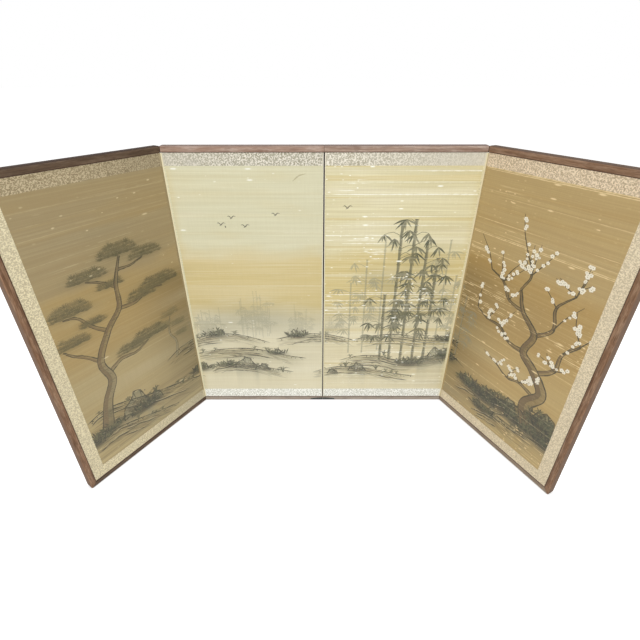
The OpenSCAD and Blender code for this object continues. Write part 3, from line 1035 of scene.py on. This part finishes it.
def bark(points, widths, count):
    """Small arcs of bark scattered on a limb."""
    path = smooth_path(points, 40)
    half = widths_along(widths, 40) / 2
    for _ in range(count):
        i = DICE.randrange(2, 34)
        x = path[i][0] + jitter(0.6) * half[i]
        z = path[i][1] + jitter(0.6) * half[i]
        size = min(3.4, 0.55 * half[i])
        arc = [(x - size, z - 0.3 * size), (x, z + 0.6 * size), (x + size, z - 0.3 * size)]
        stroke(arc, (0.3, 1.2, 0.3), DARK_INK, 0.7, steps=4, level=5)


def pine():
    """Leaning pine of the left panel, with a pale one behind it."""
    back = [(-352, 176), (-346, 214), (-358, 244), (-350, 282)]
    limb(back, (6, 5, 4, 2), GREY_WASH, 0.5, 0.8)
    for x, z, width in ((-350, 284, 40), (-334, 254, 32), (-370, 262, 34), (-330, 226, 30)):
        needle_clump(x, z, width, 12, OLIVE_INK, 0.5)
    trunk = [
        (-532, 116), (-518, 172), (-498, 215), (-508, 262), (-478, 318), (-448, 352), (-442, 400),
        (-424, 448),
    ]
    widths = (25, 19, 17, 14, 12, 10, 7, 3)
    branches = [
        ([(-498, 232), (-470, 246), (-438, 243), (-408, 256)], (9, 7, 5, 2)),
        ([(-506, 262), (-528, 286), (-546, 300), (-560, 316)], (8, 6, 4, 2)),
        ([(-478, 316), (-502, 338), (-522, 366), (-544, 372)], (8, 6, 4, 1.5)),
        ([(-450, 350), (-414, 348), (-384, 362), (-352, 358)], (8, 6, 4, 1.5)),
        ([(-442, 392), (-468, 412), (-492, 422)], (6, 4, 1.5)),
        ([(-432, 424), (-404, 424), (-380, 432)], (5, 3, 1.5)),
    ]
    for points, thick in branches:
        limb(points, thick)
    limb(trunk, widths, cover=0.85, level=3)
    bark(trunk, widths, 80)
    clumps = [
        (-402, 258, 82, 22), (-446, 252, 58, 16), (-358, 362, 86, 24), (-400, 352, 60, 16),
        (-540, 318, 56, 19), (-528, 374, 70, 22), (-487, 424, 66, 20), (-374, 432, 66, 20),
        (-424, 450, 72, 26), (-500, 342, 46, 14), (-452, 398, 48, 14),
    ]
    for clump in clumps:
        needle_clump(*clump)


def bamboo_stem(x, foot, top, lean, width, ink, cover, leaves, leaf=1.0):
    """Jointed stem with clusters of hanging leaves on fine twigs."""
    def stem_x(height):
        return x + lean * (height - foot) ** 1.3 / 100

    joints = [foot]
    while joints[-1] < top:
        joints.append(joints[-1] + DICE.uniform(26, 34) * (0.6 + 0.4 * leaf))
    for low, high in zip(joints, joints[1:]):
        x_low, x_high = stem_x(low), stem_x(high)
        middle = halfway((x_low, low), (x_high, high))
        ends = [(x_low, low + 0.8), middle, (x_high, high - 0.8)]
        stroke(ends, (width * 1.08, width * 0.86, width * 1.08), ink, cover, steps=4, level=1, fade=0.15)
        edge = [(px + 0.36 * width, pz) for px, pz in ends]
        stroke(edge, (0.3 * width, 0.2 * width, 0.3 * width), DARK_INK, 0.6 * cover, steps=3, level=2)
        wide = 0.75 * width
        ring = [(x_high - wide, high + 0.7), (x_high, high - 0.4), (x_high + wide, high + 0.7)]
        stroke(ring, (0.5, 0.3 * width, 0.5), DARK_INK, min(1, cover + 0.1), steps=3, level=3)
    for _ in range(leaves):
        height = DICE.uniform(foot + 0.3 * (top - foot), top)
        x_stem = stem_x(height)
        way = DICE.choice((-1, 1))
        tip = (x_stem + way * DICE.uniform(12, 36) * leaf, height + DICE.uniform(0, 18) * leaf)
        bent = ((x_stem + tip[0]) / 2, height + 9 * leaf)
        stroke([(x_stem, height), bent, tip], (1.3, 1.0, 0.7), ink, cover, steps=4, level=2)
        leaf_cluster(*tip, way, ink, cover, DICE.randrange(4, 7), leaf)


def leaf_cluster(x, z, way, ink, cover, count, size):
    """Tapered leaves that hang from one point."""
    for i in range(count):
        angle = math.radians(-90 + way * (8 + 26 * (i - 0.45 * count)) + jitter(10))
        end = towards(x, z, angle, DICE.uniform(16, 30) * size)
        middle = halfway((x, z), end, jitter(1.5), 0.8)
        shade = min(0.97, cover * DICE.uniform(0.75, 1.15))
        stroke([(x, z), middle, end], (0.6, 4.2 * size, 3.2 * size, 0.3), ink, shade, steps=5, level=4)


def bamboo():
    """Groves across the middle panels: pale far stems behind dark near ones."""
    for _ in range(34):
        x = DICE.uniform(-292, 40)
        foot = 204 + 0.03 * x + jitter(8)
        top = foot + DICE.uniform(46, 96) * (1.1 - abs(x + 150) / 260)
        bamboo_stem(x, foot, top, jitter(0.03), 1.6, GREY_WASH, DICE.uniform(0.28, 0.45), 5, 0.42)
    misty = ((-250, 60, 0.3), (-180, 70, 0.38), (-110, 60, 0.3), (-40, 60, 0.2), (20, 50, 0.15))
    for x, reach, cover in misty:
        blob(x, 232, reach, 34, cover, GREY_WASH)
    far = [
        (60, 150, 330), (92, 150, 392), (128, 158, 440), (262, 150, 410), (286, 160, 350), (318, 158, 300),
    ]
    for x, foot, top in far:
        bamboo_stem(x, foot, top, jitter(0.03), 3.6, GREY_WASH, 0.6, 11, 0.8)
    for x, z, reach, cover in (
        (150, 330, 62, 0.34), (210, 385, 66, 0.30), (250, 300, 60, 0.34), (186, 250, 70, 0.3),
        (104, 350, 44, 0.25),
    ):
        blob(x, z, reach, 0.6 * reach, cover, GREEN_WASH)
    for near in (
        (158, 122, 452, 0.025), (186, 112, 480, -0.02), (214, 126, 420, 0.04), (240, 116, 384, 0.03),
        (136, 128, 300, -0.03),
    ):
        bamboo_stem(*near, 6.4, GREEN_INK, 0.86, 12)


def blossom(x, z, size):
    """Five pale petals round a warm centre."""
    turn = jitter(1.0)
    for i in range(5):
        angle = turn + i * 2 * math.pi / 5
        petal = [(x, z), towards(x, z, angle, 0.55 * size), towards(x, z, angle, size)]
        stroke(petal, (0.5, size, size * 0.9, 0.3), PALE_PIGMENT, 0.95, steps=4, level=4)
    stroke([(x - 0.6, z), (x + 0.6, z)], (0.6, 1.2, 0.6), BROWN_INK, 0.8, steps=2, level=5)


def plum():
    """Old plum tree of the right panel."""
    trunk = [(520, 112), (502, 158), (524, 200), (496, 240), (468, 266), (478, 310), (446, 344), (430, 384)]
    widths = (34, 26, 22, 19, 15, 12, 8, 4)
    branches = [
        ([(500, 236), (530, 264), (534, 302), (556, 334)], (11, 8, 5, 2.5)),
        ([(470, 266), (436, 268), (408, 290), (376, 292), (350, 306)], (10, 7, 5, 3, 1.5)),
        ([(478, 308), (506, 338), (500, 380), (524, 414)], (8, 6, 4, 1.5)),
        ([(446, 344), (412, 354), (392, 384), (362, 398)], (7, 5, 3.4, 1.5)),
        ([(430, 384), (442, 418), (424, 456)], (4, 3, 1.3)),
        ([(512, 186), (478, 196), (452, 190), (424, 204)], (8, 5, 3, 1.5)),
    ]
    for points, thick in branches:
        limb(points, thick, cover=0.85)
        for _ in range(7):
            x, z = points[DICE.randrange(1, len(points))]
            tip = (x + jitter(40), z + DICE.uniform(14, 64))
            twig = [(x, z), halfway((x, z), tip, jitter(6)), tip]
            stroke(twig, (2.4, 1.7, 0.8), DARK_INK, 0.85, steps=6, level=2)
            for _ in range(5):
                share = DICE.uniform(0.2, 1.0)
                at_x = x + (tip[0] - x) * share + jitter(3)
                at_z = z + (tip[1] - z) * share + jitter(3)
                blossom(at_x, at_z, DICE.uniform(2.6, 4.4))
    limb(trunk, widths, cover=0.92, outline=2.2, level=3)
    bark(trunk, widths, 90)
    blob(440, 330, 90, 60, 0.14, GREY_WASH)


ROCK_SHAPES = (
    ((-0.5, 0), (-0.42, 0.46), (-0.16, 0.66), (-0.06, 1), (0.2, 0.86), (0.3, 0.4), (0.52, 0)),
    ((-0.5, 0), (-0.3, 0.78), (0.02, 1), (0.12, 0.62), (0.36, 0.54), (0.52, 0)),
    ((-0.52, 0), (-0.4, 0.3), (-0.2, 0.44), (0.06, 1), (0.34, 0.8), (0.5, 0)),
)


def rock(x, z, width, height):
    """Angular rock with a dark base, its faces split by slanting ink lines."""
    outline = []
    for share, rise in DICE.choice(ROCK_SHAPES):
        px = x + (share + jitter(0.04)) * width
        outline.append((px, z + (rise + jitter(0.09) * rise) * height))
    below(outline, 0.7, GREY_WASH, 0.8 * height, 3)
    below(outline, 0.5, OLIVE_INK, 0.25 * height, 3)
    blob(x + 0.1 * width, z, 0.45 * width, 0.3 * height, 0.6, DARK_INK)
    for corner, following in zip(outline, outline[1:]):
        middle = halfway(corner, following, jitter(0.03 * width), jitter(0.05 * height))
        stroke([corner, middle, following], (3.6, 1.3, 2.4), DARK_INK, 0.9, steps=6, level=3)
    for corner in outline[1:-1]:
        inwards = (x + 0.4 * (corner[0] - x) + 0.1 * width, z + 0.25 * (corner[1] - z))
        middle = halfway(corner, inwards, jitter(0.06 * width))
        stroke([corner, middle, inwards], (2.8, 1.6, 0.4), DARK_INK, 0.75, steps=6, level=3, fade=0.5)
    for _ in range(16):
        px = x + jitter(0.38 * width)
        pz = z + height * DICE.uniform(0.1, 0.75) * (1 - abs(px - x) / (0.6 * width))
        end = (px + DICE.uniform(3, 0.2 * width + 4), pz - DICE.uniform(4, 0.3 * height + 4))
        hatch = [(px, pz), halfway((px, pz), end, 1, 1), end]
        stroke(hatch, (2.6, 1.6, 0.3), DARK_INK, 0.6, steps=4, level=2, fade=0.5)
    for _ in range(12):
        moss(x + jitter(0.36 * width), z + height * DICE.uniform(0.3, 0.8))


def moss(x, z):
    """One small ink dot."""
    size = DICE.uniform(1.6, 3.2)
    stroke([(x - size / 2, z), (x + size / 2, z + 0.2)], (0.5, size, 0.4), DARK_INK, 0.85, steps=2, level=4)


def grass(x, z, reach, cover=0.85, blades=9):
    """Tuft of arching blades."""
    for i in range(blades):
        way = 2 * i / (blades - 1) - 1 + jitter(0.15)
        far = reach * DICE.uniform(0.7, 1.15)
        end = (x + way * 0.8 * far, z + far * (0.95 - 0.5 * abs(way)))
        middle = (x + way * 0.3 * far, z + far * 0.62)
        stroke([(x + jitter(1.0), z), middle, end], (1.3, 1.6, 0.3), GREEN_INK, cover, steps=5, level=3)


def thicket(x, z, width, height):
    """Dense low bamboo grass, dark at its foot."""
    blob(x, z + 0.3 * height, 0.55 * width, 0.5 * height, 0.88, GREEN_INK)
    blob(x, z + 0.1 * height, 0.5 * width, 0.3 * height, 0.8, DARK_INK)
    for _ in range(round(width * height / 26)):
        px = x + jitter(0.5 * width)
        rise = height * DICE.uniform(0.1, 1.0) * math.sqrt(max(0.1, 1 - ((px - x) / (0.52 * width)) ** 2))
        angle = math.radians(90 + jitter(75))
        start = (px, z + 0.8 * rise)
        end = towards(*start, angle, DICE.uniform(9, 16))
        blade = [start, halfway(start, end, 0, 1), end]
        ink = DICE.choice((DARK_INK, DARK_INK, GREEN_INK, OLIVE_INK))
        stroke(blade, (0.6, 3.2, 2.4, 0.3), ink, DICE.uniform(0.75, 0.95), steps=4, level=4)


def knoll(points, cover, depth, dots):
    """Low knoll: layers of broken contours, each over its own wash, with moss dots and grass."""
    path = smooth_path(points, 100)
    below(points, 0.6 * cover, GREEN_WASH, depth)
    below(points, 0.4 * cover, DARK_INK, 0.16 * depth)
    thick = [DICE.uniform(0.6, 3.0) for _ in range(3 * len(points))]
    stroke(points, (0.3, *thick, 0.3), DARK_INK, min(0.95, 0.3 + cover), steps=8 * len(points) - 8, level=2)
    for layer in range(1, 5):
        first = DICE.randrange(0, 46)
        ledge = path[first:first + DICE.randrange(30, 54):6].copy()
        ledge[:, 1] -= 0.22 * layer * depth + np.array([jitter(1.6) for _ in ledge])
        raised = ledge + (0, HIGHLIGHT_RISE)
        below(raised, 0.4 * cover, DARK_INK, 0.16 * depth, 14)
        thick = [DICE.uniform(0.8, 3.2) for _ in range(9)]
        stroke(ledge, (0.3, *thick, 0.3), DARK_INK, min(0.9, 0.25 + cover), steps=24, level=2)
        stroke(raised, (0.3, 2.2, 1.0, 2.4, 0.3), PALE_CLAY, 0.4, steps=16, level=2)
    for _ in range(2 * dots):
        first = DICE.randrange(0, 78)
        drop = DICE.uniform(2, 0.9 * depth)
        line = path[first:first + DICE.randrange(8, 22):4].copy()
        line[:, 1] -= drop + np.linspace(0, DICE.uniform(0, 6), len(line))
        tone = cover * (1 - 0.6 * drop / depth)
        stroke(line, (0.3, 1.8, 1.2, 0.3), DICE.choice((DARK_INK, BROWN_INK)), tone, steps=8, level=2)
    for _ in range(dots):
        x, z = path[DICE.randrange(3, 98)]
        moss(x + jitter(3), z - DICE.uniform(0, 6))
    for _ in range(dots // 4):
        x, z = path[DICE.randrange(4, 97)]
        grass(x, z, DICE.uniform(7, 14), cover=0.7, blades=7)


def bird(x, z, size):
    """Small bird in flight: two wings and a body."""
    for way, reach in ((1, 1.0), (-1, 0.85)):
        wing = [(x, z), (x + way * 0.5 * size, z + 0.45 * size), (x + way * reach * size, z + 0.3 * size)]
        stroke(wing, (1.6, 1.9, 0.3), DARK_INK, 0.8, steps=5, level=2)
    body = [(x - 0.3 * size, z - 0.2 * size), (x + 0.3 * size, z + 0.1 * size)]
    stroke(body, (0.5, 2.2, 0.8), DARK_INK, 0.8, steps=3, level=3)


def ground():
    """Knolls, rocks, thickets and drifting mist across the four panels."""
    for mist in (
        (-430, 196, 120, 20, 0.12), (-200, 318, 170, 16, 0.25), (-150, 66, 160, 36, 0.3),
        (90, 210, 120, 22, 0.25), (420, 210, 110, 18, 0.1), (-160, 400, 190, 30, 0.22),
        (60, 440, 170, 26, 0.2), (470, 480, 110, 20, 0.05), (140, 50, 160, 30, 0.4),
    ):
        blob(*mist, MIST)
    for wash in (
        (-150, 262, 150, 34, 0.3), (150, 262, 150, 34, 0.22), (-150, 138, 150, 24, 0.2),
        (-450, 500, 90, 14, 0.14), (480, 440, 80, 12, 0.12), (300, 60, 90, 10, 0.16),
        (-420, 60, 90, 26, 0.2),
    ):
        blob(*wash, GREY_WASH)
    for cover, depth, dots, *points in (
        (0.6, 28, 26, (-380, 178), (-340, 192), (-300, 194), (-262, 202), (-216, 206), (-170, 196),
         (-124, 180)),
        (0.6, 26, 24, (-110, 190), (-60, 202), (-10, 206), (44, 196), (84, 182)),
        (0.6, 30, 26, (70, 188), (120, 200), (170, 204), (220, 196), (280, 190), (330, 178)),
        (0.62, 30, 26, (-310, 146), (-250, 160), (-190, 164), (-130, 156), (-84, 142), (-40, 134)),
        (0.7, 42, 34, (-566, 150), (-530, 158), (-490, 148), (-440, 128), (-390, 112), (-340, 96),
         (-290, 78)),
        (0.7, 34, 24, (-566, 92), (-520, 98), (-470, 84), (-420, 66), (-370, 50)),
        (0.62, 26, 28, (-276, 104), (-226, 120), (-176, 118), (-120, 102), (-72, 92)),
        (0.66, 34, 30, (40, 128), (80, 140), (130, 142), (180, 128), (240, 132), (298, 150), (350, 142)),
        (0.6, 24, 26, (-24, 92), (36, 108), (104, 104), (170, 88), (226, 78)),
        (0.72, 44, 34, (330, 104), (380, 118), (430, 122), (480, 140), (530, 150), (566, 144)),
        (0.7, 34, 22, (390, 66), (440, 82), (500, 86), (566, 98)),
    ):
        knoll(points, cover, depth, dots)
    for shape in (
        (-466, 112, 62, 44), (-428, 100, 44, 26), (-186, 106, 54, 34), (-146, 100, 36, 20),
        (262, 124, 62, 40), (548, 110, 64, 66), (470, 106, 66, 44), (424, 98, 44, 26), (84, 96, 42, 25),
        (24, 88, 26, 14),
    ):
        rock(*shape)
    for shape in (
        (-560, 88, 50, 34), (-450, 96, 70, 26), (-300, 98, 54, 24), (-230, 108, 44, 20), (210, 112, 62, 26),
        (296, 134, 44, 34), (372, 104, 60, 30), (510, 96, 80, 34), (560, 92, 44, 46), (418, 66, 60, 24),
        (446, 108, 90, 40), (540, 128, 70, 44), (398, 96, 70, 30), (-60, 196, 44, 20), (-252, 198, 50, 22),
        (290, 184, 50, 18), (-110, 146, 44, 14), (-526, 100, 56, 22),
    ):
        thicket(*shape)
    for tuft in (
        (-420, 122, 22), (-352, 96, 18), (-98, 92, 20), (56, 106, 22), (146, 142, 20), (130, 98, 18),
    ):
        grass(*tuft)
    for x, z in ((-206, 470), (-184, 484), (-158, 466), (-96, 490), (46, 504)):
        bird(x, z, DICE.uniform(8, 11))


def marks():
    """Marks on the silk: one short crease, its shade painted as a darker line, and one spot."""
    crease = [(-60, 556), (-48, 566), (-34, 570)]
    # The crease is a darker line: its painted shade.
    stroke(crease, (0.6, 3.0, 2.2, 0.4), CREASE_SHADE, 0.7, steps=8, level=3)
    stroke([(-198, 468), (-197, 464)], (1.2, 2.4, 1.4), DARK_INK, 0.9, steps=3, level=3)


SILK_PITCH = 3.6


def mounted_silk(n):
    """The panel's silk: a thin sheet whose vertices carry the washes."""
    low, high = SILK[n][0] / MM, SILK[n][1] / MM
    width, rise, thick = high.x - low.x, high.z - low.z, high.y - low.y
    bm = bmesh.new()
    columns, rows = round(width / SILK_PITCH), round(rise / SILK_PITCH)
    bmesh.ops.create_grid(bm, x_segments=columns, y_segments=rows, size=0.5)
    layer = bm.verts.layers.float_color.new("ink")
    for vert in bm.verts:
        vert.co = (low.x + width * (vert.co.x + 0.5), low.y, low.z + rise * (vert.co.y + 0.5))
    made = bmesh.ops.extrude_face_region(bm, geom=bm.faces[:])["geom"]
    moved = [item for item in made if isinstance(item, bmesh.types.BMVert)]
    bmesh.ops.translate(bm, verts=moved, vec=(0, thick, 0))
    places = np.array([vert.co for vert in bm.verts])
    colour, cover = wash_at(places[:, 0], places[:, 2])
    for vert, tint, amount in zip(bm.verts, colour, cover):
        vert[layer] = (*tint, amount)
    bmesh.ops.transform(bm, matrix=STAND[n] @ Matrix.Scale(MM, 4), verts=bm.verts)
    piece = add_piece(f"mounted_silk_{n}", bm, SILKS[n])
    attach(piece, f"panel_{n}")
    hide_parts(f"painted_silk_{n}")


def painted_strokes(n):
    """The strokes that lie on panel n, cut at its silk's edges, as thin closed layers of ink."""
    low, high = SILK[n][0] / MM, SILK[n][1] / MM
    bm = LAYERS[n]
    layer = INK[n]
    for place, outwards in ((low, (-1, 0, 0)), (low, (0, 0, -1)), (high, (1, 0, 0)), (high, (0, 0, 1))):
        parts = bm.verts[:] + bm.edges[:] + bm.faces[:]
        bmesh.ops.bisect_plane(bm, geom=parts, plane_co=place, plane_no=outwards, clear_outer=True)
    made = bmesh.ops.extrude_face_region(bm, geom=bm.faces[:])["geom"]
    raised = {item for item in made if isinstance(item, bmesh.types.BMVert)}
    places = np.array([vert.co for vert in bm.verts])
    under, under_cover = wash_at(places[:, 0], places[:, 2])
    for vert, wash, amount in zip(bm.verts, under, under_cover):
        own = vert[layer]
        total = own[3] + amount * (1 - own[3])
        share = own[3] / max(total, WASH_EPSILON)
        vert[layer] = (*between(wash, own[:3], share), total)
        vert.co.y = low.y - vert.co.y if vert in raised else low.y + STROKE_SINK
    bmesh.ops.transform(bm, matrix=STAND[n] @ Matrix.Scale(MM, 4), verts=bm.verts)
    piece = add_piece(f"ink_strokes_{n}", bm, SILKS[n])
    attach(piece, f"panel_{n}")


for motif in (ground, pine, bamboo, plum, marks):
    motif()
for number in STAND:
    mounted_silk(number)
    painted_strokes(number)


# Studio

AMBIENT = 0.42
FLOOR_GLOW = 0.72


def make_floor():
    """Pale floor that shows white to the camera and keeps a soft shadow, with a painted contact shadow
    where its glow dims close to the screen.
    """
    bm = bmesh.new()
    bmesh.ops.create_grid(bm, x_segments=1, y_segments=1, size=40)
    material = coat(
        new_material("pale_floor"), Base_Color=(0.8, 0.8, 0.8), Roughness=0.9, Specular_IOR_Level=0.0
    )
    tree = material.node_tree
    # Ambient occlusion dims the floor's glow close to the screen: a painted contact shadow.
    open_air = tree.nodes.new("ShaderNodeAmbientOcclusion")
    open_air.inputs["Distance"].default_value = 6 * MM
    strength = seen_directly(tree) * (Signal(open_air.outputs["AO"]) * FLOOR_GLOW)
    white = added("ShaderNodeEmission", {"Color": (1.0, 1.0, 1.0), "Strength": strength})
    lit = Signal(tree.nodes["Principled BSDF"].outputs[0])
    fill(tree.nodes["Material Output"].inputs["Surface"], added("ShaderNodeAddShader", {0: lit, 1: white}))
    mesh_object("floor", bm, material)


def seen_directly(tree):
    """1 for what the camera sees, straight, in gloss or through glass, and 0 for its light."""
    path = tree.nodes.new("ShaderNodeLightPath")
    kinds = ("Camera", "Glossy", "Transmission")
    camera, glossy, through = (Signal(path.outputs[f"Is {kind} Ray"]) for kind in kinds)
    return maths("ADD", camera + glossy, through, clamp=True)


def make_world():
    """Even grey light, seen as white by the camera and in gloss."""
    world = bpy.data.worlds.new("studio")
    bpy.context.scene.world = world
    world.use_nodes = True
    back = world.node_tree.nodes["Background"]
    back.inputs["Color"].default_value = (1, 1, 1, 1)
    fill(back.inputs["Strength"], seen_directly(world.node_tree) * (1 - AMBIENT) + AMBIENT)


def area_light(name, place, aim, size, power):
    """Soft square lamp at a place, aimed at a point."""
    data = bpy.data.lights.new(name, "AREA")
    data.shape = "SQUARE"
    data.size = size
    data.energy = power
    lamp = new_object(name, data)
    turn = (Vector(aim) - Vector(place)).to_track_quat("-Z", "Y").to_matrix().to_4x4()
    lamp.matrix_world = Matrix.Translation(place) @ turn


make_floor()
make_world()
area_light("window", (-0.35, -2.4, 1.7), (0, 0, 0.35), 1.6, 44)
area_light("ceiling", (0.2, -0.2, 2.6), (0, 0, 0.3), 1.6, 16)

bpy.context.scene.view_settings.view_transform = "Standard"
